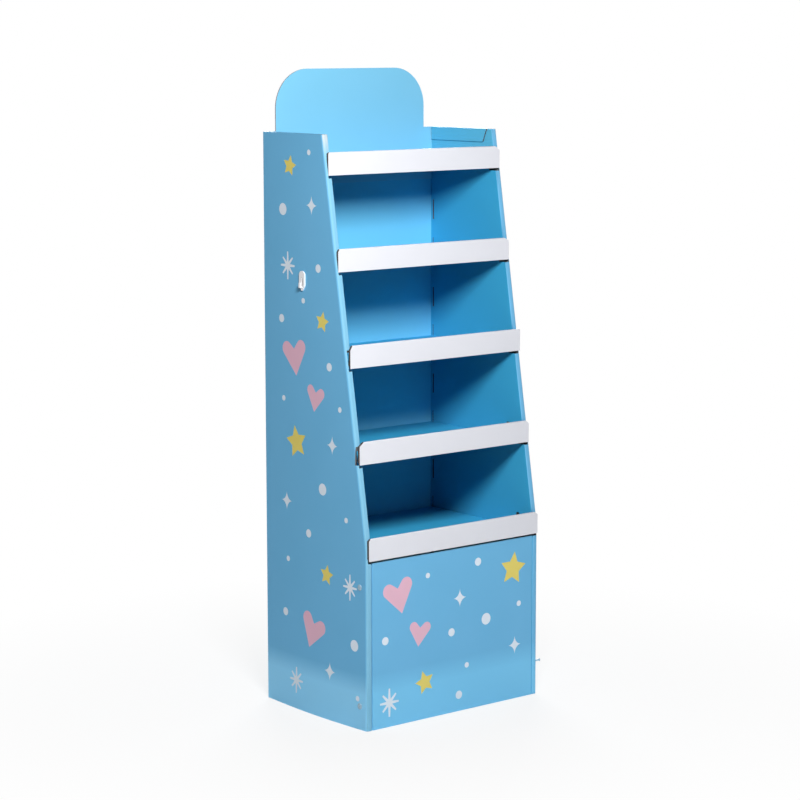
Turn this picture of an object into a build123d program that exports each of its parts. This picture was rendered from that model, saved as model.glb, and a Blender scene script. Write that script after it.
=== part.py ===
"""Free-standing display stand folded from printed corrugated board.

The stand is drawn from the middle of its foot's front edge: X runs to the right, Y to the back
and Z up. At the end every piece is moved, so that the origin lies at the bottom centre of the
whole outline. All sizes are in millimetres.
"""
from build123d import *
from math import tan, atan2
import os

os.makedirs("parts", exist_ok=True)

# Board
board = 3.0                 # one sheet of corrugated board
layer_gap = 0.5             # air between two layers that lie flat on each other
soft_fold = 6.0             # outside radius of the rolled fold at a side wall's front
sharp_fold = 2.5            # outside radius of a creased fold
clearance = 0.3             # room round a tab, a card or a panel in its seat

# Shelves
shelf_count = 5
first_level = 380.0         # lower edge of the bottom shelf's lip
shelf_pitch = 207.0
lip_height = 50.0
lip_end_room = 4.0          # from a lip's end to the outside of the stand
lip_prouds = (5.8, 1.4, 0.7, 0.0, -0.7)   # how far each lip's foot stands in front of the walls
lip_shifts = (-1.5, 1.5, 4.5, 0.0, 1.5)   # sideways error in the fold of each lip, bottom to top
# Bevels of each lip's upper corners, bottom to top: along and down, at the left and the right end
lip_bevels = (((5.0, 5.0), (8.0, 6.0)), ((12.0, 9.0), (9.0, 7.0)), ((6.0, 10.0), (2.0, 2.0)),
              ((4.0, 6.0), (13.0, 7.0)), ((3.0, 3.0), (13.0, 9.0)))
deck_rise = 8.0             # from a lip's lower edge to the top of its deck
deck_side_room = 0.5        # from a deck to each lining
tray_flap = 14.0            # flaps turned down at the sides and the back of a deck
side_flap_start = 120.0     # from a lip's front to the side flaps

# Body
width = 500.0               # over both side walls
depth = 368.0               # foot, from front to back
top_setback = 149.0         # how far the front edge leans back at the top
wall_above = 88.0           # side walls above the top shelf's lower edge
knee_rise = 22.0            # the front leans back from here up, above the bottom lip's lower edge
wall_width = 14.5           # a hollow side wall, from its outside to its lining
rear_foot_flap = 80.0       # flap of the back panel, folded in along the floor

# Top flaps, folded over the side walls and down inside them
flap_drop = 29.5
flap_front = 15.0           # open stretch of the wall's top in front of the flap
flap_slope = 13.0           # the flap's lower corner lies this much further back
flap_back = 9.0             # from the flap to the back of the stand

# Ears of the decks and their slots in the linings
ear_start = 63.0            # from a lip's front to the ear
ear_length = 40.0
ear_reach = 2.0             # past the lining, into the hollow wall
ear_entry = 10.0            # width of the upright part of the slot
ear_entry_rise = 41.0       # its top above the lip's lower edge

# Tabs at the back of the decks
tab_width = 60.0
tab_spacing = 240.0

# Notches for the lips in the front edges of the side walls
notch_margin = 4.5          # strip that stays at the outside of the wall
notch_below = 6.0           # from the notch to the lip's lower edge
notch_rise = 40.0           # top of the notch above the lip's lower edge
notch_room = 3.0            # behind the lip
lining_notch_room = 15.5    # the notch is deeper in the lining
left_whole_count = 1        # whole notches on the left, below the one that has lost its outer strip

# Slits along the back corners, each with a lock tab bent out of it
lock_height = 46.0
lock_rise = 78.0            # above a lip's lower edge
lock_width = 4.0
lock_back = 7.0             # from the slit to the inside of the back panel
relief_height = 30.0        # short slit at each deck
relief_width = 2.0
relief_rise = 5.0           # above a lip's lower edge

# Front panel of the base
front_gap = 5.0             # from the panel to the lip above it
front_flap = 62.0           # side flaps, folded back along the linings
front_foot_flap = 70.0

# Header card
header_rise = 138.0         # above the side walls
header_drop = 34.0          # below the top shelf's lower edge
header_width = 428.0
header_offset = -4.0        # the upper part is cut a little to the left
header_corner = 88.0
header_side_room = 1.0      # from its shoulders to each lining

# Push rivets of the base, each a hollow socket with a pin
rivet_setback = 23.5        # from the front face
rivet_low = 53.0
rivet_high = 319.0
loose_setback = 12.5        # the lower right rivet was set by hand
loose_height = 74.0
loose_out = 20.0            # its pin was left standing out this far
head_diameter = 14.0
head_thickness = 1.6
shank_diameter = 7.0
shank_bore = 4.4
barb_diameter = 8.6         # over the two barbs at the end of the split shank
barb_length = 4.0
barb_width = 3.0
pin_head = 6.4
pin_head_thickness = 1.0
pin_diameter = 4.0
pin_length = 26.0

# Hanger on the left side: slotted plate with an upturned tongue and a stud through the board
hook_top = 996.0
hook_setback = 223.0        # from the front face
hook_width = 20.0
hook_height = 44.0
hook_plate = 3.0
hook_reach = 10.0           # tongue, from the side wall
hook_slot_width = 5.0
hook_slot_height = 20.0
hook_slot_drop = 15.0       # from the top of the plate
hook_tip_radius = 3.0
hook_tongue = 2.2           # thickness
hook_tongue_rise = 9.0
hook_stud = 6.0
hook_barb = 7.4
hook_barb_length = 3.0

# Places that follow from the sizes above
levels = [first_level + shelf_pitch * step for step in range(shelf_count)]
side_height = levels[-1] + wall_above
knee_height = first_level + knee_rise
front_height = first_level - front_gap
header_top = side_height + header_rise
header_foot = levels[-1] - header_drop
lining_inside = width / 2 - wall_width
lining_outside = lining_inside + board
wall_inside = width / 2 - board
flap_outside = lining_inside - layer_gap
back_inside = depth - board
slit_back = back_inside - lock_back
lip_width = width - 2 * lip_end_room
lip_depth = 2 * board + layer_gap
deck_half = lining_inside - deck_side_room
panel_half = lining_inside - clearance
header_back = back_inside - clearance
header_front = header_back - board
tab_places = (-tab_spacing / 2, tab_spacing / 2)
grip = wall_width + clearance + board       # what a rivet holds together

# Name, side (-1 left, 1 right), setback, height and how far the pin stands out of its seat
rivets = (
    ("rivet_left_lower", -1, rivet_setback, rivet_low, 0.0),
    ("rivet_left_upper", -1, rivet_setback, rivet_high, 0.0),
    ("rivet_right_lower", 1, loose_setback, loose_height, loose_out - head_thickness),
    ("rivet_right_upper", 1, rivet_setback, rivet_high, 0.0),
)


def front_at(height):
    """Y of the side walls' front edge at a height."""
    return max(0.0, top_setback * (height - knee_height) / (side_height - knee_height))


def is_front_edge(edge):
    """True for the long edges of a side wall that follow its front."""
    ends = edge.vertices()
    follows = all(abs(end.Y - front_at(end.Z)) < 0.01 for end in ends)
    return follows and edge.length > 2 * wall_width


def box_between(x_range, y_range, z_range, mode=Mode.ADD):
    """Box over three ranges, in the part that is being built."""
    ranges = (x_range, y_range, z_range)
    with Locations(tuple((low + high) / 2 for low, high in ranges)):
        Box(*(abs(high - low) for low, high in ranges), mode=mode)


def rivet_hole(side, outside, length, setback, height):
    """Round hole along X, from a place on the outside inwards."""
    with Locations(Location((side * (outside - length / 2), setback, height), (0, 90, 0))):
        Cylinder(shank_diameter / 2 + clearance, length, mode=Mode.SUBTRACT)


lip_fronts = [front_at(level) - proud for level, proud in zip(levels, lip_prouds)]
to_origin = Location(((hook_reach - loose_out) / 2, -(lip_fronts[0] + depth) / 2, 0))
pieces = []


def finish(piece, name):
    """Label a finished piece and move it to the stand's origin."""
    solid = piece.part.moved(to_origin)
    solid.label = name
    pieces.append(solid)


# Body: back panel, hollow side walls with linings and top flaps, and rear foot flap, one sheet
with BuildPart() as body_shell:
    # Left side wall, solid at first, with its two front folds
    with BuildSketch(Plane.YZ.offset(-width / 2)):
        Polygon((0, 0), (depth, 0), (depth, side_height), (top_setback, side_height),
                (0, knee_height), align=None)
    extrude(amount=wall_width)
    fillet(body_shell.edges().filter_by(is_front_edge).group_by(Axis.X)[0], radius=soft_fold)
    fillet(body_shell.edges().filter_by(is_front_edge).group_by(Axis.X)[-1], radius=sharp_fold)
    # Hollow of the wall, open at the floor
    with BuildSketch(Plane.YZ.offset(-wall_inside)):
        Polygon((0, 0), (depth, 0), (depth, side_height), (top_setback, side_height),
                (0, knee_height), align=None)
        offset(amount=-board, kind=Kind.INTERSECTION, mode=Mode.REPLACE)
        with Locations((depth / 2, 0)):
            Rectangle(depth - 2 * board, 4 * board)
    extrude(amount=wall_inside - lining_outside, mode=Mode.SUBTRACT)
    # The top of the wall is open in front of the flap
    flap_start = top_setback + flap_front
    box_between((-wall_inside, -lining_outside), (top_setback + board, flap_start),
                (side_height - board, side_height), mode=Mode.SUBTRACT)
    # Top flap
    with BuildSketch(Plane.YZ.offset(-flap_outside)):
        Polygon((flap_start, side_height), (depth - flap_back, side_height),
                (depth - flap_back, side_height - flap_drop),
                (flap_start + flap_slope, side_height - flap_drop), align=None)
    extrude(amount=board)
    box_between((-lining_inside, -flap_outside), (flap_start, depth - flap_back),
                (side_height - board, side_height))
    for level, lip_front in zip(levels, lip_fronts):
        # Ear slot: a level run that carries the ear, and an upright entry in front of it
        ear_front = lip_front + ear_start
        seat = level + deck_rise - board
        box_between((-lining_outside, -lining_inside),
                    (ear_front - clearance, ear_front + ear_length + clearance),
                    (seat, seat + board + clearance), mode=Mode.SUBTRACT)
        box_between((-lining_outside, -lining_inside), (ear_front - ear_entry, ear_front - clearance),
                    (seat, level + ear_entry_rise), mode=Mode.SUBTRACT)
        # Lock slit with the tab bent out of it, and the short slit at the deck
        lock_low = level - shelf_pitch + lock_rise
        box_between((-lining_outside, -lining_inside), (slit_back - lock_width, slit_back),
                    (lock_low, lock_low + lock_height), mode=Mode.SUBTRACT)
        box_between((-wall_inside + layer_gap, -lining_outside), (slit_back, slit_back + board),
                    (lock_low, lock_low + lock_height))
        box_between((-lining_outside, -lining_inside), (slit_back - relief_width, slit_back),
                    (level + relief_rise, level + relief_rise + relief_height), mode=Mode.SUBTRACT)
    mirror(about=Plane.YZ)
    # Back panel and its foot flap
    box_between((-lining_outside, lining_outside), (back_inside, depth), (0, side_height))
    box_between((-panel_half, panel_half), (back_inside - rear_foot_flap, back_inside), (0, board))
    fillet(body_shell.edges().filter_by(Axis.Z).group_by(Axis.Y)[-1], radius=sharp_fold)
    # Notches for the lips, and the slots for the tabs of the decks
    notch_side = width / 2 - notch_margin
    for level, lip_front, lip_shift in zip(levels, lip_fronts, lip_shifts):
        before = lip_front - soft_fold
        behind = lip_front + lip_depth
        low = level - notch_below
        high = level + notch_rise
        box_between((-notch_side, notch_side), (before, behind + notch_room), (low, high),
                    mode=Mode.SUBTRACT)
        box_between((-lining_outside, lining_outside), (before, behind + lining_notch_room),
                    (low, high), mode=Mode.SUBTRACT)
        # The lip's ends reach into the strips outside the notch
        lip_end = lip_width / 2 + clearance
        box_between((lip_shift - lip_end, lip_shift + lip_end), (before, behind + clearance),
                    (level - clearance, level + lip_height), mode=Mode.SUBTRACT)
        for place in tab_places:
            with Locations((place, back_inside + board / 2, level + deck_rise - board / 2)):
                Box(tab_width + 2 * clearance, board, board + 2 * clearance, mode=Mode.SUBTRACT)
    torn_level = levels[left_whole_count]
    torn_depth = lip_fronts[left_whole_count] + lip_depth + notch_room
    box_between((-width / 2, -notch_side), (0, torn_depth), (torn_level, torn_level + notch_rise),
                mode=Mode.SUBTRACT)
    # The lowest notch on the right runs out to the side under its lip
    box_between((notch_side, width / 2), (lip_fronts[0], lip_fronts[0] + lip_depth + notch_room),
                (first_level - notch_below, first_level), mode=Mode.SUBTRACT)
    # Holes for the rivets and for the hanger's slot and stud
    for name, side, setback, height, pin_out in rivets:
        rivet_hole(side, width / 2, wall_width, setback, height)
    slot_top = hook_top - hook_slot_drop
    slot_low = slot_top - hook_slot_height
    box_between((-width / 2, -wall_inside),
                (hook_setback - hook_slot_width / 2, hook_setback + hook_slot_width / 2),
                (slot_low, slot_top), mode=Mode.SUBTRACT)
    stud_height = hook_top - hook_width / 2
    with Locations(Location((-width / 2 + board / 2, hook_setback, stud_height), (0, 90, 0))):
        Cylinder(hook_stud / 2 + clearance, board, mode=Mode.SUBTRACT)
finish(body_shell, "body_shell")


# Front panel of the base: one sheet with side flaps and a foot flap
with BuildPart() as front_panel:
    box_between((-panel_half, panel_half), (0, front_flap), (0, front_height))
    fillet(front_panel.edges().filter_by(Axis.Z).group_by(Axis.Y)[0], radius=sharp_fold)
    box_between((-panel_half + board, panel_half - board), (board, front_flap), (0, front_height),
                mode=Mode.SUBTRACT)
    box_between((-panel_half + 2 * board, panel_half - 2 * board), (0, front_foot_flap), (0, board))
    for name, side, setback, height, pin_out in rivets:
        rivet_hole(side, panel_half, board, setback, height)
finish(front_panel, "front_panel")


def build_shelf(level, lip_front, deck_back, lip_shift, lip_bevel):
    """Tray with a double front lip: one sheet, cut wider at the lip than between the walls."""
    lip_back = lip_front + lip_depth
    lip_top = level + lip_height
    deck_top = level + deck_rise
    deck_low = deck_top - board
    ear_front = lip_front + ear_start
    with BuildPart() as shelf:
        # Lip, folded over at its top and open below
        with BuildSketch(Plane.YZ.offset(lip_shift - lip_width / 2)):
            Polygon((lip_front, level), (lip_front + board, level), (lip_front + board, lip_top - board),
                    (lip_back - board, lip_top - board), (lip_back - board, deck_low),
                    (lip_back, deck_low), (lip_back, lip_top), (lip_front, lip_top), align=None)
        extrude(amount=lip_width)
        fillet(shelf.edges().filter_by(Axis.X).group_by(Axis.Z)[-1], radius=sharp_fold)
        for side, (bevel_run, bevel_fall) in zip((-1, 1), lip_bevel):
            end = lip_shift + side * lip_width / 2
            with BuildSketch(Plane.XZ.offset(-lip_back)):
                Polygon((end - side * bevel_run, lip_top), (end, lip_top - bevel_fall),
                        (end, lip_top), align=None)
            extrude(amount=lip_depth, mode=Mode.SUBTRACT)
        # Deck with its rear flap
        box_between((-deck_half, deck_half), (lip_back - board, deck_back), (deck_low, deck_top))
        box_between((-deck_half, deck_half), (deck_back - board, deck_back),
                    (deck_top - tray_flap, deck_top))
        for side, place in zip((-1, 1), tab_places):
            # Side flap, then the ear in the lining's slot, then the tab through the back panel
            box_between((side * (deck_half - board), side * deck_half),
                        (lip_front + side_flap_start, deck_back - 2 * board),
                        (deck_top - tray_flap, deck_top))
            box_between((side * deck_half, side * (lining_outside + ear_reach)),
                        (ear_front, ear_front + ear_length), (deck_low, deck_top))
            box_between((place - tab_width / 2, place + tab_width / 2), (deck_back, depth),
                        (deck_low, deck_top))
    return shelf


for index, level in enumerate(levels):
    # The top deck ends in front of the header card
    under_header = index == shelf_count - 1
    deck_back = (header_front if under_header else back_inside) - clearance
    lip_shift = lip_shifts[index % len(lip_shifts)]
    lip_bevel = lip_bevels[index % len(lip_bevels)]
    tray = build_shelf(level, lip_fronts[index], deck_back, lip_shift, lip_bevel)
    finish(tray, f"shelf_{index + 1}")


# Header card, held between the top shelf and the back panel by the shelf's tabs
with BuildPart() as header_card:
    with BuildSketch(Plane.XZ.offset(-header_back)):
        with Locations((header_offset, (header_foot + header_top) / 2)):
            RectangleRounded(header_width, header_top - header_foot, header_corner)
        with Locations((0, (header_foot + side_height) / 2)):
            Rectangle(2 * (lining_inside - header_side_room), side_height - header_foot)
        for place in tab_places:
            with Locations((place, levels[-1] + deck_rise - board / 2)):
                Rectangle(tab_width + 2 * clearance, board + 2 * clearance, mode=Mode.SUBTRACT)
    extrude(amount=board)
finish(header_card, "header_card")


# Rivet socket along X: its head lies outside at negative X, its split shank goes inwards
with BuildPart() as socket:
    recess = pin_head / 2 + clearance
    recess_floor = pin_head_thickness - head_thickness
    barb_start = grip + clearance
    barb_end = barb_start + barb_length
    with BuildSketch(Plane.XY):
        Polygon((-head_thickness, recess), (-head_thickness, head_diameter / 2 - head_thickness / 2),
                (0, head_diameter / 2), (0, shank_diameter / 2), (barb_end, shank_diameter / 2),
                (barb_end, shank_bore / 2), (recess_floor, shank_bore / 2), (recess_floor, recess),
                align=None)
    revolve(axis=Axis.X)
    # A wedge-shaped barb on each half of the shank
    leg_middle = (shank_bore + shank_diameter) / 4
    with BuildSketch(Plane.XY):
        for side in (-1, 1):
            Polygon((barb_start, side * leg_middle), (barb_start, side * barb_diameter / 2),
                    (barb_end, side * shank_diameter / 2), (barb_end, side * leg_middle), align=None)
    extrude(amount=barb_width / 2, both=True)
    box_between((barb_start - barb_length, barb_end), (-board / 4, board / 4),
                (-barb_diameter, barb_diameter), mode=Mode.SUBTRACT)

# Rivet pin along X, flush with the socket's head when it is home
with BuildPart() as pin:
    with BuildSketch(Plane.XY):
        stem_end = pin_length - head_thickness
        Polygon((-head_thickness, 0), (-head_thickness, pin_head / 2), (recess_floor, pin_head / 2),
                (recess_floor, pin_diameter / 2), (stem_end, pin_diameter / 2), (stem_end, 0), align=None)
    revolve(axis=Axis.X)

for name, side, setback, height, pin_out in rivets:
    seat = Location((side * width / 2, setback, height), (0, 0, 0 if side < 0 else 180))
    with BuildPart() as placed_socket:
        add(socket.part.moved(seat))
    with BuildPart() as placed_pin:
        add(pin.part.moved(seat * Location((-pin_out, 0, 0))))
    finish(placed_socket, f"{name}_socket")
    finish(placed_pin, f"{name}_pin")


# Hanger on the left side
with BuildPart() as side_hook:
    with BuildSketch(Plane.YZ.offset(-width / 2)):
        with Locations((hook_setback, stud_height), (hook_setback, slot_low + hook_width / 4)):
            Circle(hook_width / 2)
        with Locations((hook_setback, hook_top - hook_height + hook_tip_radius)):
            Circle(hook_tip_radius)
        make_hull()
        with Locations((hook_setback, (slot_top + slot_low) / 2)):
            Rectangle(hook_slot_width, slot_top - slot_low, mode=Mode.SUBTRACT)
    extrude(amount=-hook_plate)
    # Tongue, out from the plate and up in front of the slot
    tongue_out = -width / 2 - hook_reach
    with BuildSketch(Plane.XZ.offset(-hook_setback)):
        Polygon((-width / 2 - hook_plate, slot_low), (-width / 2 - hook_plate, slot_low - hook_tongue),
                (tongue_out, slot_low - hook_tongue), (tongue_out, slot_low + hook_tongue_rise),
                (tongue_out + hook_tongue, slot_low + hook_tongue_rise),
                (tongue_out + hook_tongue, slot_low), align=None)
    extrude(amount=hook_slot_width / 2, both=True)
    # Stud through the board, with its barb
    stud_end = -width / 2 + board + clearance
    with Locations(Location((-width / 2, hook_setback, stud_height), (0, 90, 0))):
        Cylinder(hook_stud / 2, board + clearance, align=(Align.CENTER, Align.CENTER, Align.MIN))
    with Locations(Location((stud_end, hook_setback, stud_height), (0, 90, 0))):
        Cone(hook_barb / 2, hook_stud / 2 - hook_barb_length / 3, hook_barb_length,
             align=(Align.CENTER, Align.CENTER, Align.MIN))
finish(side_hook, "side_hook")


for piece in pieces:
    export_step(piece, f"parts/{piece.label}.step")
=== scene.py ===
"""Finish of a display stand folded from printed corrugated board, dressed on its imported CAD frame.

Places on the stand are in millimetres from the middle of its foot's front edge: X to the right, Y
to the back and Z up. place() turns them into the frame's own metres.
"""

from math import acos, atan2, cos, hypot, pi, radians, sin, tau

import bmesh
import bpy
from mathutils import Euler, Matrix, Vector
from mathutils.geometry import delaunay_2d_cdt


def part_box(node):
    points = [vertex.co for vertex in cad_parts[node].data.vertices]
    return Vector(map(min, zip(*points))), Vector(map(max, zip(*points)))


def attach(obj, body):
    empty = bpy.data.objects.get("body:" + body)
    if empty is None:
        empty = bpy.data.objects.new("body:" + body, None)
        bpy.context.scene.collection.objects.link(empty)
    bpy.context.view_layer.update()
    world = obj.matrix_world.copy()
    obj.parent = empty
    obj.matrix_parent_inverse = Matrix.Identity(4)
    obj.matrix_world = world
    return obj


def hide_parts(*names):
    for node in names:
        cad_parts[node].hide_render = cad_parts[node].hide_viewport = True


MM = 0.001
RIGHT = Vector((1, 0, 0))
BACK = Vector((0, 1, 0))
UP = Vector((0, 0, 1))

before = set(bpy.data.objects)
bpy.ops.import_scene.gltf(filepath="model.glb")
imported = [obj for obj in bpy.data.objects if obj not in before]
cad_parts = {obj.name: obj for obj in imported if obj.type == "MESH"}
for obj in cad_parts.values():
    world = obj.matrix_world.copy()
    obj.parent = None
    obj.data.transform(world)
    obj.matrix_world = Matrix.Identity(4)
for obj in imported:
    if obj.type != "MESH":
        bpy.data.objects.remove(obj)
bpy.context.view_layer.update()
body_low, body_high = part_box("body_shell")
panel_low, panel_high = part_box("front_panel")
middle = (body_low.x + body_high.x) / 2     # of the stand, in the frame's metres

# Sizes of the board and of the stand, in millimetres
board = 3.0
flute_pitch = 6.5
width = (body_high.x - body_low.x) / MM
depth = (body_high.y - body_low.y) / MM
side_height = body_high.z / MM
panel_room = 0.3            # between the front panel and each wall's lining
wall_width = width / 2 - (panel_high.x - panel_low.x) / MM / 2 - panel_room
lip_height = 50.0
lip_room = 0.5              # between a lip's two layers
knee_height = 402.0         # the side walls' front edge leans back from here up
top_setback = 149.0         # as far as this at the top
flap_level = 1215.0         # the linings' flaps, turned in at the top, start here

# How the boards have warped, in millimetres
belly = 8.0                 # how far the outer side boards bulge at the floor
belly_height = 520.0        # the bulge ends here
belly_setback = 6.0         # the folded front edge stays straight
belly_reach = 1.4 * board   # what lies this near a side's outer face bulges with it
bend_step = 40.0            # between the cuts that let a board bend
groove = 1.2                # how much wider the grooves beside the front panel have become
groove_reach = 0.8 * board  # what lies this near a wall's lining is drawn away from it

# Painted light on the print, as the heights in millimetres at which it starts and is complete: the floor's
# reflection painted pale on the foot, and a highlight painted on the top of the left front fold
foot_light_heights = (125.0, 80.0)
top_highlight_heights = (1250.0, 1290.0)

# Grain of the surfaces, in millimetres. Fibres, flecks and the liners' relief are drawn coarser
# than real ones, so that they show.
ink_cloud = 110.0           # soft patches in the ink's tone
fibre = 1.1                 # of the coated paper
fleck = 3.8                 # darker and paler bits of recycled paper
liner_relief = 0.06         # of flutes and fibres under the print
moulded_grain = 2.5
moulded_relief = 0.1

# What counts as one place or one way, in millimetres and radians
weld = 0.01                 # points this near are one
hair = 0.001                # a cut this near a point goes through it
near = 0.1                  # a face whose middle is this near a level lies on it
flat_angle = radians(0.5)   # faces that turn less than this are one flat face
fold_angle = radians(35)    # faces that turn more than this have an edge between them


def place(x, y, z):
    """A point of the stand, from millimetres to the frame's metres."""
    return Vector((middle + x * MM, body_low.y + y * MM, z * MM))


def on_stand(point):
    """Millimetres on the stand of a point in the frame."""
    return Vector(((point.x - middle) / MM, (point.y - body_low.y) / MM, point.z / MM))


# Materials

def paint(code):
    """Linear colour of an sRGB hex code."""
    shares = [int(code[at:at + 2], 16) / 255 for at in (1, 3, 5)]
    return tuple(s / 12.92 if s <= 0.04045 else ((s + 0.055) / 1.055) ** 2.4 for s in shares) + (1,)


def add_node(tree, kind, inputs=None, **settings):
    """Adds a node with its settings. An input is a value, or another node's output to link."""
    made = tree.nodes.new(kind)
    for name, value in settings.items():
        setattr(made, name, value)
    for socket, value in (inputs or {}).items():
        if isinstance(value, bpy.types.NodeSocket):
            tree.links.new(value, made.inputs[socket])
        else:
            made.inputs[socket].default_value = value
    return made


def new_material(name):
    """An empty material with its output, ready for a shader."""
    material = bpy.data.materials.new(name)
    material.use_nodes = True
    tree = material.node_tree
    tree.nodes.clear()
    output = add_node(tree, "ShaderNodeOutputMaterial")
    return material, tree, output


def coated_liner(name, colour, shade, roughness=0.5, foot_light=None, top_highlight=None):
    """Clay-coated paper liner, printed or plain, under a matt varnish, on corrugated board.

    The varnish gives a low sheen. The flutes underneath show through as faint upright waves, and
    the ink lies a little unevenly on the paper's fibres. At the foot and at the top the print can fade
    to a paler colour, which is painted light: the floor's reflection at the foot, a highlight at the top.
    """
    flute_share = 0.35          # height of the flutes, beside that of the fibres
    material, tree, output = new_material(name)
    spot = add_node(tree, "ShaderNodeTexCoord").outputs["Object"]
    parts = add_node(tree, "ShaderNodeSeparateXYZ", {0: spot})
    along = add_node(tree, "ShaderNodeMath", {0: parts.outputs[0], 1: parts.outputs[1]}, operation="ADD")
    turn = add_node(tree, "ShaderNodeMath", {0: along.outputs[0], 1: tau / (flute_pitch * MM)},
                    operation="MULTIPLY")
    flutes = add_node(tree, "ShaderNodeMath", {0: turn.outputs[0]}, operation="SINE")
    grain = add_node(tree, "ShaderNodeTexNoise", {"Vector": spot, "Scale": 1 / (fibre * MM),
                                                  "Detail": 2.0})
    height = add_node(tree, "ShaderNodeMath", {0: flutes.outputs[0], 1: flute_share,
                                               2: grain.outputs["Fac"]}, operation="MULTIPLY_ADD")
    bump = add_node(tree, "ShaderNodeBump", {"Height": height.outputs[0], "Strength": 0.25,
                                             "Distance": liner_relief * MM})
    cloud = add_node(tree, "ShaderNodeTexNoise", {"Vector": spot, "Scale": 1 / (ink_cloud * MM),
                                                  "Detail": 3.0})
    tint = add_node(tree, "ShaderNodeMix", {0: cloud.outputs["Fac"], 6: paint(colour), 7: paint(shade)},
                    data_type="RGBA")
    ink = tint.outputs[2]
    # Painted light: the floor's reflection at the foot and a highlight at the top, as a paler colour
    for painted_light, (start, complete) in ((foot_light, foot_light_heights), (top_highlight, top_highlight_heights)):
        if painted_light:
            light_share = add_node(tree, "ShaderNodeMapRange", {
                "Value": parts.outputs[2], "From Min": start * MM, "From Max": complete * MM})
            ink = add_node(tree, "ShaderNodeMix", {0: light_share.outputs[0], 6: ink, 7: paint(painted_light)},
                           data_type="RGBA").outputs[2]
    shader = add_node(tree, "ShaderNodeBsdfPrincipled", {
        "Base Color": ink, "Roughness": roughness, "IOR": 1.48,
        "Specular IOR Level": 0.06, "Normal": bump.outputs[0]})
    tree.links.new(shader.outputs[0], output.inputs[0])
    return material


def recycled_liner(name, colour, shade):
    """Recycled paper, the unprinted side of the board: rough and mottled with darker fibres."""
    material, tree, output = new_material(name)
    spot = add_node(tree, "ShaderNodeTexCoord").outputs["Object"]
    bits = add_node(tree, "ShaderNodeTexNoise", {"Vector": spot, "Scale": 1 / (fleck * MM),
                                                 "Detail": 6.0})
    tint = add_node(tree, "ShaderNodeMix", {0: bits.outputs["Fac"], 6: paint(colour), 7: paint(shade)},
                    data_type="RGBA")
    shader = add_node(tree, "ShaderNodeBsdfPrincipled", {
        "Base Color": tint.outputs[2], "Roughness": 0.85, "IOR": 1.45})
    tree.links.new(shader.outputs[0], output.inputs[0])
    return material


def cut_flutes(name, paper, hollow_shade):
    """Cut edge of the board: two liners with a wave of fluting paper between hollows, which are painted
    dark as the shade inside them.

    The edge's UV map holds millimetres along the edge, and 0 to 1 through the board.
    """
    swing = 0.34                # of the fluting to each side, as a share of the board
    paper_share = 0.08          # half the drawn thickness of the paper
    hollow_shade_share = 0.16         # the painted shade of the hollows is full this far from any paper
    material, tree, output = new_material(name)
    chart = add_node(tree, "ShaderNodeUVMap", uv_map="edge")
    parts = add_node(tree, "ShaderNodeSeparateXYZ", {0: chart.outputs[0]})
    turn = add_node(tree, "ShaderNodeMath", {0: parts.outputs[0], 1: tau / flute_pitch},
                    operation="MULTIPLY")
    wave = add_node(tree, "ShaderNodeMath", {0: turn.outputs[0]}, operation="SINE")
    crest = add_node(tree, "ShaderNodeMath", {0: wave.outputs[0], 1: swing, 2: 0.5},
                     operation="MULTIPLY_ADD")
    from_wave = add_node(tree, "ShaderNodeMath", {0: parts.outputs[1], 1: crest.outputs[0]},
                         operation="SUBTRACT")
    wave_gap = add_node(tree, "ShaderNodeMath", {0: from_wave.outputs[0]}, operation="ABSOLUTE")
    from_middle = add_node(tree, "ShaderNodeMath", {0: parts.outputs[1], 1: 0.5}, operation="SUBTRACT")
    middle_gap = add_node(tree, "ShaderNodeMath", {0: from_middle.outputs[0]}, operation="ABSOLUTE")
    liner_gap = add_node(tree, "ShaderNodeMath", {0: 0.5, 1: middle_gap.outputs[0]},
                         operation="SUBTRACT")
    paper_gap = add_node(tree, "ShaderNodeMath", {0: wave_gap.outputs[0], 1: liner_gap.outputs[0]},
                         operation="MINIMUM")
    # Painted shade: the hollows between the papers are darkened
    hollow_shade_mix = add_node(tree, "ShaderNodeMapRange", {
        "Value": paper_gap.outputs[0], "From Min": paper_share, "From Max": hollow_shade_share})
    tint = add_node(tree, "ShaderNodeMix", {0: hollow_shade_mix.outputs[0], 6: paint(paper), 7: paint(hollow_shade)},
                    data_type="RGBA")
    shader = add_node(tree, "ShaderNodeBsdfPrincipled", {
        "Base Color": tint.outputs[2], "Roughness": 0.9, "IOR": 1.45})
    tree.links.new(shader.outputs[0], output.inputs[0])
    return material


def moulded_plastic(name, colour, clear=0.0, roughness=0.3):
    """Injection-moulded polypropylene, milky or clear, with a soft gloss on a faintly uneven skin."""
    material, tree, output = new_material(name)
    spot = add_node(tree, "ShaderNodeTexCoord").outputs["Object"]
    skin = add_node(tree, "ShaderNodeTexNoise", {"Vector": spot, "Scale": 1 / (moulded_grain * MM),
                                                 "Detail": 2.0})
    bump = add_node(tree, "ShaderNodeBump", {"Height": skin.outputs["Fac"], "Strength": 0.1,
                                             "Distance": moulded_relief * MM})
    shader = add_node(tree, "ShaderNodeBsdfPrincipled", {
        "Base Color": paint(colour), "Roughness": roughness, "IOR": 1.49,
        "Transmission Weight": clear, "Normal": bump.outputs[0]})
    tree.links.new(shader.outputs[0], output.inputs[0])
    return material


# Main blue of the stand: an even sky blue with a low sheen, painted paler at the foot as the floor's
# reflection there
sky_print = coated_liner("sky_blue_offset_print", "#6fb8e2", "#76bce6", foot_light="#7fccf4")
# The same blue on the outside of the side walls, where the floor's reflection is painted paler still at
# the foot
side_print = coated_liner("side_sky_offset_print", "#6fb8e2", "#76bce6", foot_light="#95daff")
# A brighter copy of the blue on the back panel's inside, behind the shelves, which is painted light
back_lit_print = coated_liner("back_painted_light_print", "#74cff4", "#7ad3f7")
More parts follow.
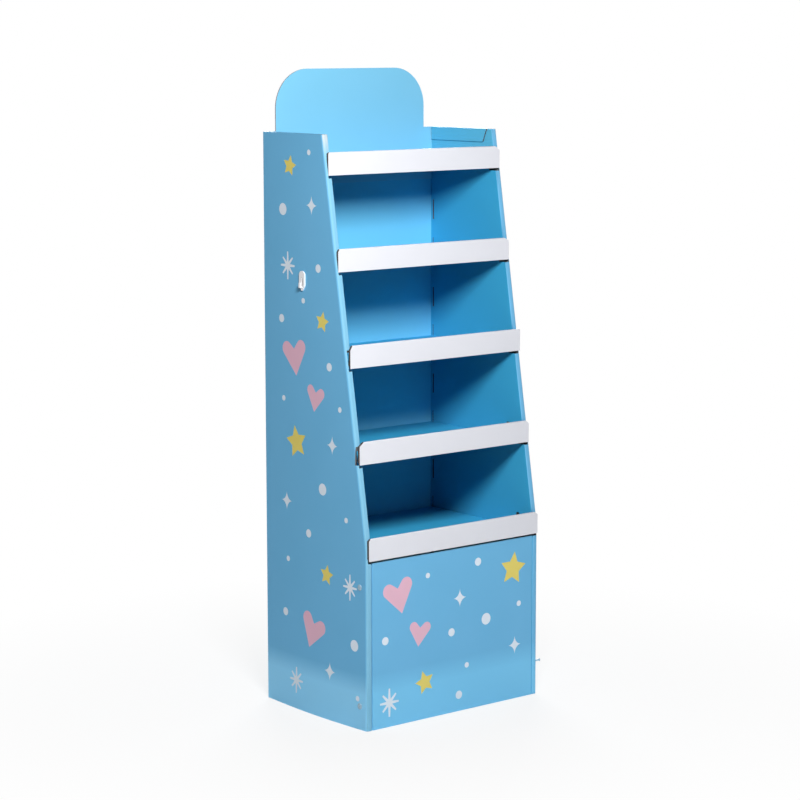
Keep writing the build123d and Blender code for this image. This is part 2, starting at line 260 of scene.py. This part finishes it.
# Pale clear blue of the header card, a paler copy of the main blue that paints the stronger light high on
# the stand
header_lit_print = coated_liner("header_painted_light_print", "#82cdee", "#87d0f1")
# A greyer, paler copy of the blue on the left wall's front fold only, which paints the light on that
# rounded fold, with a painted highlight nearly white at its top
fold_lit_print = coated_liner("fold_painted_light_print", "#80bedc", "#86c2e0", top_highlight="#c0cdd2")
# A deeper, darker copy of the blue on the walls' linings, beside the shelves, which paints their shade and
# the blue light bounced between them
lining_shade_print = coated_liner("lining_painted_shade_print", "#3eaad5", "#44aed9")
# Muted blue of the linings' top flaps
flap_print = coated_liner("turned_in_offset_print", "#5fb9d8", "#65bddb")
# Strong clear blue of the decks
deck_print = coated_liner("deck_sky_offset_print", "#40b8e8", "#46bcec")
# Inks of the pattern: cool white, dusty pink and soft lemon, as matt as the blue round them
white_print = coated_liner("white_offset_print", "#e2ecf7", "#e6eff9")
pink_print = coated_liner("pink_offset_print", "#e6b8cb", "#e8bbce")
yellow_print = coated_liner("yellow_offset_print", "#e7d570", "#e9d877")
# Bare white coating of the lips, a little smoother than the print
white_liner = coated_liner("white_clay_coated_liner", "#dfe1e8", "#e4e5ec", roughness=0.38)
# Dull dark grey of the hidden sides
raw_liner = recycled_liner("grey_recycled_liner", "#565d64", "#6c7278")
# Brownish grey paper round hollows painted nearly black as the shade inside them, which reads as a fine
# dark rim from a step away
cut_edge = cut_flutes("cut_corrugated_edge", "#6f6a67", "#262322")
# The header's edge, cut from paler board, with its hollows painted mid grey as their shade, which reads as
# a thin light rim
pale_edge = cut_flutes("cut_white_lined_edge", "#cfc5c8", "#8d8484")
# Clear plastic whose light blue tint is painted in for the board seen through it, with small sharp
# highlights
rivet_plastic = moulded_plastic("clear_polypropylene_painted_blue", "#bcdcee", clear=0.25, roughness=0.22)
# Solid white plastic with a broad soft highlight
hanger_plastic = moulded_plastic("white_polypropylene", "#f2f2f4")


# Printed shapes: outlines of radius 1 about their middle, in the print's own plane

def circle_outline(steps=28):
    """A dot."""
    return [(cos(tau * step / steps), sin(tau * step / steps)) for step in range(steps)]


def heart_outline(side=0.592, lobe=0.373, rise=0.407, dip=0.362, steps=16):
    """A heart of two round lobes, with straight runs from the dip and down to the tip."""
    start = atan2(dip - rise, -side) - acos(lobe / hypot(side, rise - dip)) + tau
    stop = atan2(-1 - rise, -side) + acos(lobe / hypot(side, rise + 1))
    turns = [start + (stop - start) * step / steps for step in range(steps + 1)]
    right = [(side + lobe * cos(turn), rise + lobe * sin(turn)) for turn in turns]
    return [(0, dip)] + right + [(0, -1)] + [(-x, y) for x, y in reversed(right)]


def star_outline(inner=0.5):
    """A five-pointed star."""
    points = []
    for step in range(10):
        reach = inner if step % 2 else 1
        points.append((-reach * sin(tau * step / 10), reach * cos(tau * step / 10)))
    return points


def sparkle_outline(narrow=0.88, hollow_shade=3.6, steps=7):
    """A four-pointed sparkle with hollow sides, taller than wide."""
    points = []
    for step in range(4 * steps):
        turn = tau * step / (4 * steps)
        across = abs(cos(turn)) ** hollow_shade * (1 if cos(turn) > 0 else -1)
        up = abs(sin(turn)) ** hollow_shade * (1 if sin(turn) > 0 else -1)
        points.append((narrow * across, up))
    return points


def snowflake_outline(root=0.21, tip=0.13, hub=0.27, side_reach=0.82):
    """Eight tapered arms. The upright pair is the longest."""
    points = []
    for arm in range(8):
        turn = tau * arm / 8
        reach = 1 if arm in (2, 6) else side_reach
        for out, half in ((hub, -root / 2), (reach, -tip / 2), (reach, tip / 2), (hub, root / 2)):
            points.append((out * cos(turn) - half * sin(turn), out * sin(turn) + half * cos(turn)))
    return points


outlines = {"dot": circle_outline(), "heart": heart_outline(), "star": star_outline(),
            "sparkle": sparkle_outline(), "snowflake": snowflake_outline()}
inks = {"dot": white_print, "heart": pink_print, "star": yellow_print, "sparkle": white_print,
        "snowflake": white_print}

# Radii of the shapes that come back again and again, in millimetres
small_dot = 6.2
dot = 9.3
large_dot = 13.4
sparkle = 22.4
small_star = 23.8

# Printed shapes of the sides: kind, place from the front, height, radius, and turn in degrees
side_prints = [
    ("dot", 198, 1256, small_dot), ("star", 268.4, 1224.6, small_star, -12),
    ("sparkle", 189.7, 1141, sparkle), ("dot", 294.6, 1128, large_dot),
    ("snowflake", 278.1, 1004, 31), ("dot", 167, 1005, dot),
    ("dot", 222, 930, small_dot), ("star", 153.4, 889, small_star, -11),
    ("dot", 302.5, 884.5, dot), ("heart", 255, 804.3, 44.1, 7.8),
    ("dot", 129.1, 792, dot), ("heart", 180, 718.6, 32.3, -8.9),
    ("dot", 296.9, 705.3, small_dot), ("dot", 92, 702, small_dot),
    ("sparkle", 119.9, 619.5, sparkle), ("star", 250.3, 611.5, 37.5, 11),
    ("dot", 155.7, 517, large_dot), ("sparkle", 288.4, 473.3, sparkle),
    ("dot", 71.4, 460.3, small_dot), ("dot", 207.4, 410.2, dot),
    ("dot", 284.2, 340.5, small_dot), ("star", 141.1, 326.7, small_star, -8),
    ("snowflake", 58.2, 313, 29), ("dot", 294.1, 216.5, dot),
    ("heart", 190.7, 192.9, 43.4, -16.9), ("dot", 42.6, 185.5, 13),
    ("sparkle", 127.7, 110.8, sparkle), ("dot", 31.6, 68.5, 6),
    ("snowflake", 250.8, 66, 30),
]

# Printed shapes of the base's front: kind, place from the middle, height, radius and turn
front_prints = [
    ("heart", -159.7, 292.9, 43.1, 11.9), ("heart", -100.7, 199.2, 31.4, -7.8),
    ("star", 175.2, 306, 39, -8), ("star", -86, 84, 27.3, 15),
    ("dot", -77.1, 325.3, small_dot), ("dot", 69.7, 336.2, dot), ("dot", -198.3, 195.6, 9.2),
    ("dot", -8.1, 185.5, dot), ("dot", 94.3, 200.8, large_dot), ("dot", 193.4, 222, 6.5),
    ("dot", 37, 103.1, 6.3), ("dot", 13.9, 37.7, 9.5),
    ("sparkle", 16.2, 260.8, 22), ("sparkle", 181.4, 126.4, 22),
    ("snowflake", -187.2, 54.8, 32),
]


def laid_out(prints, across, up, middle_of, flip=1):
    """Outlines of printed shapes at their places on a side, each with its ink.

    A flip of -1 mirrors each shape.
    """
    ready = []
    for kind, along, height, radius, *turn in prints:
        centre = middle_of(along, height)
        angle = radians(turn[0] if turn else 0)
        outline = []
        for x, y in outlines[kind]:
            right = flip * radius * MM * (x * cos(angle) - y * sin(angle))
            rise = radius * MM * (x * sin(angle) + y * cos(angle))
            outline.append(Vector((centre.dot(across) + right, centre.dot(up) + rise)))
        ready.append((outline, inks[kind]))
    return ready


# Working on a board's shape

def merged_copy(node):
    """A CAD node's shape with its loose triangles joined into whole flat faces."""
    shape = bmesh.new()
    shape.from_mesh(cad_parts[node].data)
    bmesh.ops.remove_doubles(shape, verts=shape.verts, dist=weld * MM)
    bmesh.ops.dissolve_limit(shape, angle_limit=flat_angle, verts=shape.verts, edges=shape.edges)
    return shape


def smooth_regions(shape):
    """Groups of faces that no sharp edge parts."""
    left = set(shape.faces)
    regions = []
    while left:
        front = [left.pop()]
        region = list(front)
        while front:
            face = front.pop()
            for edge in face.edges:
                if len(edge.link_faces) != 2 or edge.calc_face_angle() > fold_angle:
                    continue
                for other in edge.link_faces:
                    if other in left:
                        left.remove(other)
                        front.append(other)
                        region.append(other)
        regions.append(region)
    return regions


def on_rim(edge, inside):
    """True for an edge with one of its faces in a group, and the other outside it."""
    return sum(face in inside for face in edge.link_faces) == 1


def is_cut_edge(region):
    """True for a strip about as wide as the board is thick, which is where it was cut."""
    inside = set(region)
    area = sum(face.calc_area() for face in region)
    rim = sum(edge.calc_length() for face in region for edge in face.edges if on_rim(edge, inside))
    mean_width = 2 * area / rim
    return mean_width < 1.05 * board * MM


def chart_edge(face, chart):
    """Gives a face of a cut edge its millimetres along the edge and its share through the board."""
    longest = max(face.edges, key=lambda edge: edge.calc_length())
    along = (longest.verts[1].co - longest.verts[0].co).normalized()
    if sum(along) < 0:
        along = -along
    through = face.normal.cross(along)
    if sum(through) < 0:
        through = -through
    reaches = [loop.vert.co.dot(through) for loop in face.loops]
    low = min(reaches)
    span = max(max(reaches) - low, board * MM / 2)
    for loop, reach in zip(face.loops, reaches):
        loop[chart].uv = (loop.vert.co.dot(along) / MM, (reach - low) / span)


def dress(shape, chooser, materials, edge_material=cut_edge):
    """Gives each face its material: the cut edge for board ends, else what the chooser names."""
    chart = shape.loops.layers.uv.new("edge")
    for region in smooth_regions(shape):
        if is_cut_edge(region):
            for face in region:
                face.material_index = materials.index(edge_material)
                chart_edge(face, chart)
        else:
            for face in region:
                spot = on_stand(face.calc_center_median())
                face.material_index = materials.index(chooser(spot, face.normal))


def flat_faces(shape, direction, level):
    """The faces that look one way and lie at one place along it."""
    return [face for face in shape.faces if face.normal.dot(direction) > 0.9999
            and abs(face.verts[0].co.dot(direction) - level) < 2 * weld * MM]


def rim_loops(faces):
    """Closed runs of vertices round a set of faces, the longest first."""
    inside = set(faces)
    rim = {}
    for face in faces:
        for loop in face.loops:
            if on_rim(loop.edge, inside):
                rim[loop.vert] = loop.link_loop_next.vert
    runs = []
    while rim:
        start = next(iter(rim))
        run = [start]
        step = rim.pop(start)
        while step is not start:
            run.append(step)
            step = rim.pop(step)
        runs.append(run)
    return sorted(runs, key=len, reverse=True)


def laid_flat(run, across, up):
    """A run of vertices as an outline on a flat side."""
    return [Vector((vert.co.dot(across), vert.co.dot(up))) for vert in run]


def anticlockwise(run, outline):
    """The run, turned round if its outline goes clockwise, which makes its area negative."""
    twice_area = sum(a.cross(b) for a, b in zip(outline, outline[1:] + outline[:1]))
    return run[::-1] if twice_area < 0 else run


def filled(rounds):
    """Fills outlines on a flat side with triangles that keep to their lines.

    Gives each corner with the numbers of the outlines' points that it comes from, and each
    triangle with the numbers of the outlines that it lies in.
    """
    spots = [spot for outline in rounds for spot in outline]
    numbers = []
    for outline in rounds:
        first = sum(len(row) for row in numbers)
        numbers.append(list(range(first, first + len(outline))))
    made = delaunay_2d_cdt(spots, [], numbers, 1, 0.1 * hair * MM, True)
    corners, triangles, origins, holders = made[0], made[2], made[3], made[5]
    return list(zip(corners, origins)), list(zip(triangles, holders))


def print_on(shape, faces, across, up, prints, materials):
    """Cuts printed shapes into a flat side, so that each ink is part of the sheet.

    across and up are the side's directions. The side's rims and the outlines are filled together,
    and each triangle is set back in place with the ink that it lies in.
    """
    normal = faces[0].normal.copy()
    level = faces[0].verts[0].co.dot(normal)
    unprinted = faces[0].material_index
    rims = [anticlockwise(run, laid_flat(run, across, up)) for run in rim_loops(faces)]
    rim_outlines = [laid_flat(run, across, up) for run in rims]
    print_outlines = [anticlockwise(outline, outline) for outline, ink in prints]
    corners, triangles = filled(rim_outlines + print_outlines)
    bmesh.ops.delete(shape, geom=faces, context="FACES_ONLY")

    rim_verts = [vert for run in rims for vert in run]
    verts = []
    for spot, origin in corners:
        known = next((rim_verts[i] for i in origin if i < len(rim_verts)), None)
        verts.append(known or shape.verts.new(across * spot.x + up * spot.y + normal * level))

    # The widest rim is the side's own outline, and the others are holes in it
    spans = [max(spot.x for spot in rim) - min(spot.x for spot in rim) for rim in rim_outlines]
    outside = spans.index(max(spans))
    holes = set(range(len(rims))) - {outside}
    for triangle, within in triangles:
        if outside not in within or holes.intersection(within):
            continue
        face = shape.faces.new([verts[i] for i in triangle])
        face.normal_update()
        if face.normal.dot(normal) < 0:
            face.normal_flip()
        inked = [prints[i - len(rims)][1] for i in within if i >= len(rims)]
        face.material_index = materials.index(inked[-1]) if inked else unprinted


def cut_at(shape, direction, reach):
    """Cuts a shape through at one place along a direction."""
    bmesh.ops.bisect_plane(shape, geom=shape.verts[:] + shape.edges[:] + shape.faces[:],
                           plane_co=direction * reach, plane_no=direction, dist=hair * MM)


def cut_across(shape, direction, start, stop):
    """Cuts a shape at even steps, so that it can bend smoothly there."""
    at = start + bend_step * MM
    while at < stop:
        cut_at(shape, direction, at)
        at += bend_step * MM


def wall_bulge(spot):
    """How far the outer board of a side bellies out near the floor, in millimetres."""
    if abs(spot.x) < width / 2 - belly_reach:
        return 0.0
    across = min(max((spot.y - belly_setback) / (depth - belly_setback), 0), 1)
    near_floor = max(0.0, 1 - spot.z / belly_height) ** 2
    return belly * sin(pi * across) * near_floor


def finish_piece(shape, name, materials, nodes):
    """Turns a shape into a piece that stands for CAD nodes, and hides those nodes.

    The piece is bent as the real boards have warped, and a rivet goes with the board it is in.
    """
    for vert in shape.verts:
        spot = on_stand(vert.co)
        vert.co.x += wall_bulge(spot) * MM * (1 if spot.x > 0 else -1)
    mesh = bpy.data.meshes.new(name)
    shape.to_mesh(mesh)
    shape.free()
    mesh.shade_smooth()
    mesh.set_sharp_from_angle(angle=fold_angle)
    piece = bpy.data.objects.new(name, mesh)
    bpy.context.collection.objects.link(piece)
    for material in materials:
        mesh.materials.append(material)
    weights = piece.modifiers.new("even_flats", "WEIGHTED_NORMAL")
    weights.keep_sharp = True
    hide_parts(*nodes)
    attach(piece, "root")


# Pieces of board

def front_at(height):
    """Front edge of the side walls at a height, which leans back above the base."""
    return max(0.0, top_setback * (height - knee_height) / (side_height - knee_height))


def body_side(spot, normal):
    """Grey liner inside the hollow walls, print everywhere else."""
    lining = width / 2 - wall_width + board
    spine_back = front_at(spot.z) + board
    panel_front = depth - 1.5 * board
    in_wall = lining - near < abs(spot.x) < width / 2 - board + near
    if in_wall and spine_back - near < spot.y < panel_front:
        return raw_liner
    if normal.y < -0.5 and spot.y < spine_back:
        # Painted light: the left front fold takes its own paler copy of the blue
        return fold_lit_print if spot.x < 0 else sky_print
    if abs(spot.x) > lining:
        return side_print
    if normal.x * spot.x < 0 and abs(normal.x) > 0.9:
        # Painted shade: below the flaps the linings take a deeper copy of the blue
        return lining_shade_print if spot.z < flap_level else flap_print
    # Painted light: the back's inside takes a brighter copy of the blue
    return back_lit_print if normal.y < -0.9 and spot.y > panel_front else sky_print


def make_body():
    """Back and hollow sides, one folded sheet, with the pattern on both sides."""
    materials = [sky_print, side_print, back_lit_print, fold_lit_print, lining_shade_print, flap_print, white_print,
                 pink_print, yellow_print, raw_liner, cut_edge]
    shape = merged_copy("body_shell")
    cut_at(shape, UP, flap_level * MM)
    dress(shape, body_side, materials)
    for side in (-1, 1):
        faces = flat_faces(shape, RIGHT * side, side * (middle + side * width / 2 * MM))
        prints = laid_out(side_prints, BACK, UP, lambda along, height: place(0, along, height), flip=-1)
        print_on(shape, faces, BACK, UP, prints, materials)
    cut_across(shape, BACK, body_low.y, body_high.y)
    cut_across(shape, UP, 0, belly_height * MM)
    finish_piece(shape, "body_board", materials, ["body_shell"])


def panel_side(spot, normal):
    """Print on the panel's outer face, grey liner on its inner one."""
    inner = (spot.y > board / 2 and normal.y > 0.5) or normal.z > 0.5 or normal.x * spot.x < 0
    return raw_liner if inner else sky_print


def widen_grooves(shape):
    """Draws in the outer faces of the front panel's flaps, which widens the groove at each wall."""
    for vert in shape.verts:
        spot = on_stand(vert.co)
        if abs(spot.x) > width / 2 - wall_width - groove_reach:
            vert.co.x -= groove * MM if spot.x > 0 else -groove * MM


def make_front_panel():
    """Front of the base, with its flaps and its pattern."""
    materials = [sky_print, white_print, pink_print, yellow_print, raw_liner, cut_edge]
    shape = merged_copy("front_panel")
    dress(shape, panel_side, materials)
    faces = flat_faces(shape, -BACK, -panel_low.y)
    prints = laid_out(front_prints, RIGHT, UP, lambda along, height: place(along, 0, height))
    print_on(shape, faces, RIGHT, UP, prints, materials)
    widen_grooves(shape)
    finish_piece(shape, "base_front_board", materials, ["front_panel"])


def make_header():
    """Header card: printed in front, grey liner behind."""
    materials = [header_lit_print, raw_liner, pale_edge]
    shape = merged_copy("header_card")
    # Painted light: the header's front takes a paler copy of the blue
    dress(shape, lambda spot, normal: header_lit_print if normal.y < 0 else raw_liner, materials, pale_edge)
    finish_piece(shape, "header_board", materials, ["header_card"])


def make_shelf(node):
    """Shelf tray: white lip in front, printed deck, grey liner underneath."""
    materials = [white_liner, deck_print, raw_liner, cut_edge]
    low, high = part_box(node)
    lip_front = on_stand(low).y
    lip_back = lip_front + 2 * board + lip_room
    level = high.z / MM - lip_height

    def tray_side(spot, normal):
        """White outside the lip, grey liner between its layers, print on the deck and its flaps."""
        if spot.y < lip_back + near and spot.z > level - near:
            between = ((lip_front + lip_back) / 2 - spot.y) * normal.y > near
            return raw_liner if between or normal.z < -0.5 else white_liner
        underneath = normal.z < -0.5 or normal.y < -0.5 or normal.x * spot.x < -0.5
        return raw_liner if underneath else deck_print

    shape = merged_copy(node)
    dress(shape, tray_side, materials)
    finish_piece(shape, node.replace("shelf", "tray"), materials, [node])


# Plastic fittings

def make_hook():
    """The moulded hanger, with its round faces smoothed."""
    finish_piece(merged_copy("side_hook"), "side_hook_moulding", [hanger_plastic], ["side_hook"])


# Push rivets as turned shapes: depth below the face of the head, and radius, in millimetres
socket_profile = [(0, 3.5), (0, 5.8), (0.3, 6.6), (0.9, 7), (1.6, 6.8), (1.6, 3.5), (19.7, 3.5),
                  (23.7, 2.8), (23.7, 2.2), (1.3, 2.2), (1.3, 3.5), (0, 3.5)]
pin_profile = [(0, 0), (0, 2.6), (0.3, 3.1), (0.6, 3.2), (1.2, 3.2), (1.2, 2), (25, 2), (26, 1.4), (26, 0)]


def profile_curve(tree, share, values):
    """A curve node that goes through the values in even steps, as shares of the largest."""
    node = add_node(tree, "ShaderNodeFloatCurve", {"Value": share})
    curve = node.mapping.curves[0]
    largest = max(values)
    while len(curve.points) < len(values):
        curve.points.new(0.5, 0.5)
    for step, (point, value) in enumerate(zip(curve.points, values)):
        point.location = (step / (len(values) - 1), value / largest)
        point.handle_type = "VECTOR"
    node.mapping.update()
    return node.outputs[0]


def rolled_sheet(tree, profile, radius, length, steps=32):
    """A grid rolled up round X: its X becomes the turn, and its Y the way along the profile."""
    sheet = add_node(tree, "GeometryNodeMeshGrid", {
        "Size X": 1.0, "Size Y": 1.0, "Vertices X": steps + 1, "Vertices Y": len(profile)})
    spot = add_node(tree, "GeometryNodeInputPosition")
    parts = add_node(tree, "ShaderNodeSeparateXYZ", {0: spot.outputs[0]})
    turn = add_node(tree, "ShaderNodeMath", {0: parts.outputs[0], 1: tau}, operation="MULTIPLY").outputs[0]
    share = add_node(tree, "ShaderNodeMath", {0: parts.outputs[1], 1: 0.5}, operation="ADD").outputs[0]
    depth_share = profile_curve(tree, share, [depth for depth, reach in profile])
    reach_share = profile_curve(tree, share, [reach for depth, reach in profile])
    along = add_node(tree, "ShaderNodeMath", {0: depth_share, 1: length}, operation="MULTIPLY")
    reach = add_node(tree, "ShaderNodeMath", {0: reach_share, 1: radius}, operation="MULTIPLY")
    across = add_node(tree, "ShaderNodeMath", {0: turn}, operation="COSINE")
    up = add_node(tree, "ShaderNodeMath", {0: turn}, operation="SINE")
    right = add_node(tree, "ShaderNodeMath", {0: reach.outputs[0], 1: across.outputs[0]},
                     operation="MULTIPLY")
    rise = add_node(tree, "ShaderNodeMath", {0: reach.outputs[0], 1: up.outputs[0]}, operation="MULTIPLY")
    turned = add_node(tree, "ShaderNodeCombineXYZ", {0: along.outputs[0], 1: right.outputs[0],
                                                     2: rise.outputs[0]})
    rolled = add_node(tree, "GeometryNodeSetPosition", {"Geometry": sheet.outputs[0],
                                                        "Position": turned.outputs[0]})
    closed = add_node(tree, "GeometryNodeMergeByDistance", {"Geometry": rolled.outputs[0],
                                                            "Distance": hair * MM})
    return closed.outputs[0]


def turning_tree(profile):
    """Nodes that turn a profile about X, and set one on each point with its X inwards."""
    tree = bpy.data.node_groups.new("turned_fitting", "GeometryNodeTree")
    for label, kind in (("Places", "Geometry"), ("Radius", "Float"), ("Length", "Float"),
                        ("Plastic", "Material")):
        tree.interface.new_socket(label, in_out="INPUT", socket_type="NodeSocket" + kind)
    tree.interface.new_socket("Fittings", in_out="OUTPUT", socket_type="NodeSocketGeometry")
    given = add_node(tree, "NodeGroupInput").outputs
    fitting = rolled_sheet(tree, profile, given["Radius"], given["Length"])
    inwards = add_node(tree, "GeometryNodeInputNamedAttribute", {"Name": "inwards"},
                       data_type="FLOAT_VECTOR")
    facing = add_node(tree, "FunctionNodeAlignRotationToVector", {"Vector": inwards.outputs[0]}, axis="X")
    placed = add_node(tree, "GeometryNodeInstanceOnPoints", {
        "Points": given["Places"], "Instance": fitting, "Rotation": facing.outputs[0]})
    real = add_node(tree, "GeometryNodeRealizeInstances", {0: placed.outputs[0]})
    finished = add_node(tree, "GeometryNodeSetMaterial", {"Geometry": real.outputs[0],
                                                          "Material": given["Plastic"]})
    add_node(tree, "NodeGroupOutput", {0: finished.outputs[0]})
    return tree


def rivet_places(nodes, name):
    """A point at the face of each rivet's head, which also holds the way into the wall."""
    spots, inwards = [], []
    for node in nodes:
        low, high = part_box(node)
        on_right = low.x > middle
        spots.append((high.x if on_right else low.x, (low.y + high.y) / 2, (low.z + high.z) / 2))
        inwards += [-1 if on_right else 1, 0, 0]
    places = bpy.data.meshes.new(name)
    places.from_pydata(spots, [], [])
    places.attributes.new("inwards", "FLOAT_VECTOR", "POINT").data.foreach_set("vector", inwards)
    return places


def make_rivets(part_name, profile):
    """Every rivet's socket, or every pin, turned from its profile and set at its place."""
    nodes = sorted(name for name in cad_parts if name.endswith(part_name))
    holder = bpy.data.objects.new("rivet_places", rivet_places(nodes, f"rivet{part_name}_places"))
    bpy.context.collection.objects.link(holder)
    turning = holder.modifiers.new("turning", "NODES")
    turning.node_group = turning_tree(profile)
    given = {"Radius": max(radius for depth, radius in profile) * MM,
             "Length": max(depth for depth, radius in profile) * MM, "Plastic": rivet_plastic}
    for socket in turning.node_group.interface.items_tree:
        if socket.name in given:
            turning[socket.identifier] = given[socket.name]
    seen = holder.evaluated_get(bpy.context.evaluated_depsgraph_get())
    shape = bmesh.new()
    shape.from_mesh(bpy.data.meshes.new_from_object(seen))
    bpy.data.objects.remove(holder)
    bmesh.ops.recalc_face_normals(shape, faces=shape.faces)
    for face in shape.faces:
        face.material_index = 0
    finish_piece(shape, f"rivet{part_name}s", [rivet_plastic], nodes)


# Floor, camera and light

def seen_white(tree, shader, share):
    """Mixes a shader with plain white for rays from the eye, off gloss and through clear parts."""
    path = add_node(tree, "ShaderNodeLightPath")
    eye = add_node(tree, "ShaderNodeMath", {0: path.outputs["Is Camera Ray"],
                                            1: path.outputs["Is Glossy Ray"]}, operation="MAXIMUM")
    seen = add_node(tree, "ShaderNodeMath", {0: eye.outputs[0], 1: path.outputs["Is Transmission Ray"]},
                    operation="MAXIMUM")
    part = add_node(tree, "ShaderNodeMath", {0: seen.outputs[0], 1: share}, operation="MULTIPLY")
    return add_node(tree, "ShaderNodeMixShader", {0: part.outputs[0], 1: shader})


def make_floor():
    """A wide pale floor that shows nearly white and keeps the stand's shadow."""
    reach = 12000.0             # from its middle to each edge
    shadow_near = 350.0         # the shadow is strongest up to here
    shadow_far = 1300.0         # and has faded to white here
    material, tree, output = new_material("pale_floor")
    matt = add_node(tree, "ShaderNodeBsdfDiffuse", {"Color": paint("#f2f2f2")})
    spot = add_node(tree, "ShaderNodeTexCoord").outputs["Object"]
    away = add_node(tree, "ShaderNodeVectorMath", {0: spot}, operation="LENGTH")
    share = add_node(tree, "ShaderNodeMapRange", {
        "Value": away.outputs["Value"], "From Min": shadow_near * MM, "From Max": shadow_far * MM,
        "To Min": 0.8, "To Max": 1.0})
    mixed = seen_white(tree, matt.outputs[0], share.outputs[0])
    glow = add_node(tree, "ShaderNodeEmission", {"Color": (1, 1, 1, 1), "Strength": 1.0})
    tree.links.new(glow.outputs[0], mixed.inputs[2])
    tree.links.new(mixed.outputs[0], output.inputs[0])
    mesh = bpy.data.meshes.new("floor")
    corners = [(x * reach * MM, y * reach * MM, 0) for x, y in ((-1, -1), (1, -1), (1, 1), (-1, 1))]
    mesh.from_pydata(corners, [], [(0, 1, 2, 3)])
    floor = bpy.data.objects.new("floor", mesh)
    mesh.materials.append(material)
    bpy.context.collection.objects.link(floor)


def make_world():
    """White behind the stand, and an even soft light from all round."""
    world = bpy.data.worlds.new("studio")
    bpy.context.scene.world = world
    world.use_nodes = True
    tree = world.node_tree
    tree.nodes.clear()
    soft = add_node(tree, "ShaderNodeBackground", {"Color": (1, 1, 1, 1), "Strength": 0.01})
    mixed = seen_white(tree, soft.outputs[0], 1.0)
    white = add_node(tree, "ShaderNodeBackground", {"Color": (1, 1, 1, 1), "Strength": 1.0})
    tree.links.new(white.outputs[0], mixed.inputs[2])
    add_node(tree, "ShaderNodeOutputWorld", {0: mixed.outputs[0]})


def make_camera():
    """The photograph's view: from the left, a little above the stand."""
    downward = 8.53             # degrees below the horizon
    roll = 0.07
    heading = -39.10            # degrees to the right of straight back
    camera = bpy.data.cameras.new("camera")
    camera.lens = 108.9
    camera.sensor_width = 36
    holder = bpy.data.objects.new("camera", camera)
    holder.location = place(-3427.7, -4027.3, 1503.9)
    holder.rotation_euler = Euler((radians(90 - downward), radians(roll), radians(heading)))
    bpy.context.collection.objects.link(holder)
    bpy.context.scene.camera = holder


def add_lamp(name, spot, target, size, power):
    """A square soft lamp, as wide as its size in millimetres, that looks at a point of the stand."""
    lamp = bpy.data.lights.new(name, "AREA")
    lamp.size = size * MM
    lamp.energy = power
    holder = bpy.data.objects.new(name, lamp)
    holder.location = spot
    holder.rotation_euler = (target - spot).to_track_quat("-Z", "Y").to_euler()
    bpy.context.collection.objects.link(holder)


make_body()
make_front_panel()
make_header()
for node in sorted(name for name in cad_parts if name.startswith("shelf_")):
    make_shelf(node)
make_rivets("_socket", socket_profile)
make_rivets("_pin", pin_profile)
make_hook()

make_floor()
make_world()
make_camera()
add_lamp("key_softbox", place(-1090, -1480, 1955), place(0, 150, 900), size=500, power=58)
add_lamp("rear_softbox", place(1500, 2200, 2000), place(0, 150, 700), size=1600, power=70)
bpy.context.scene.view_settings.view_transform = "Standard"
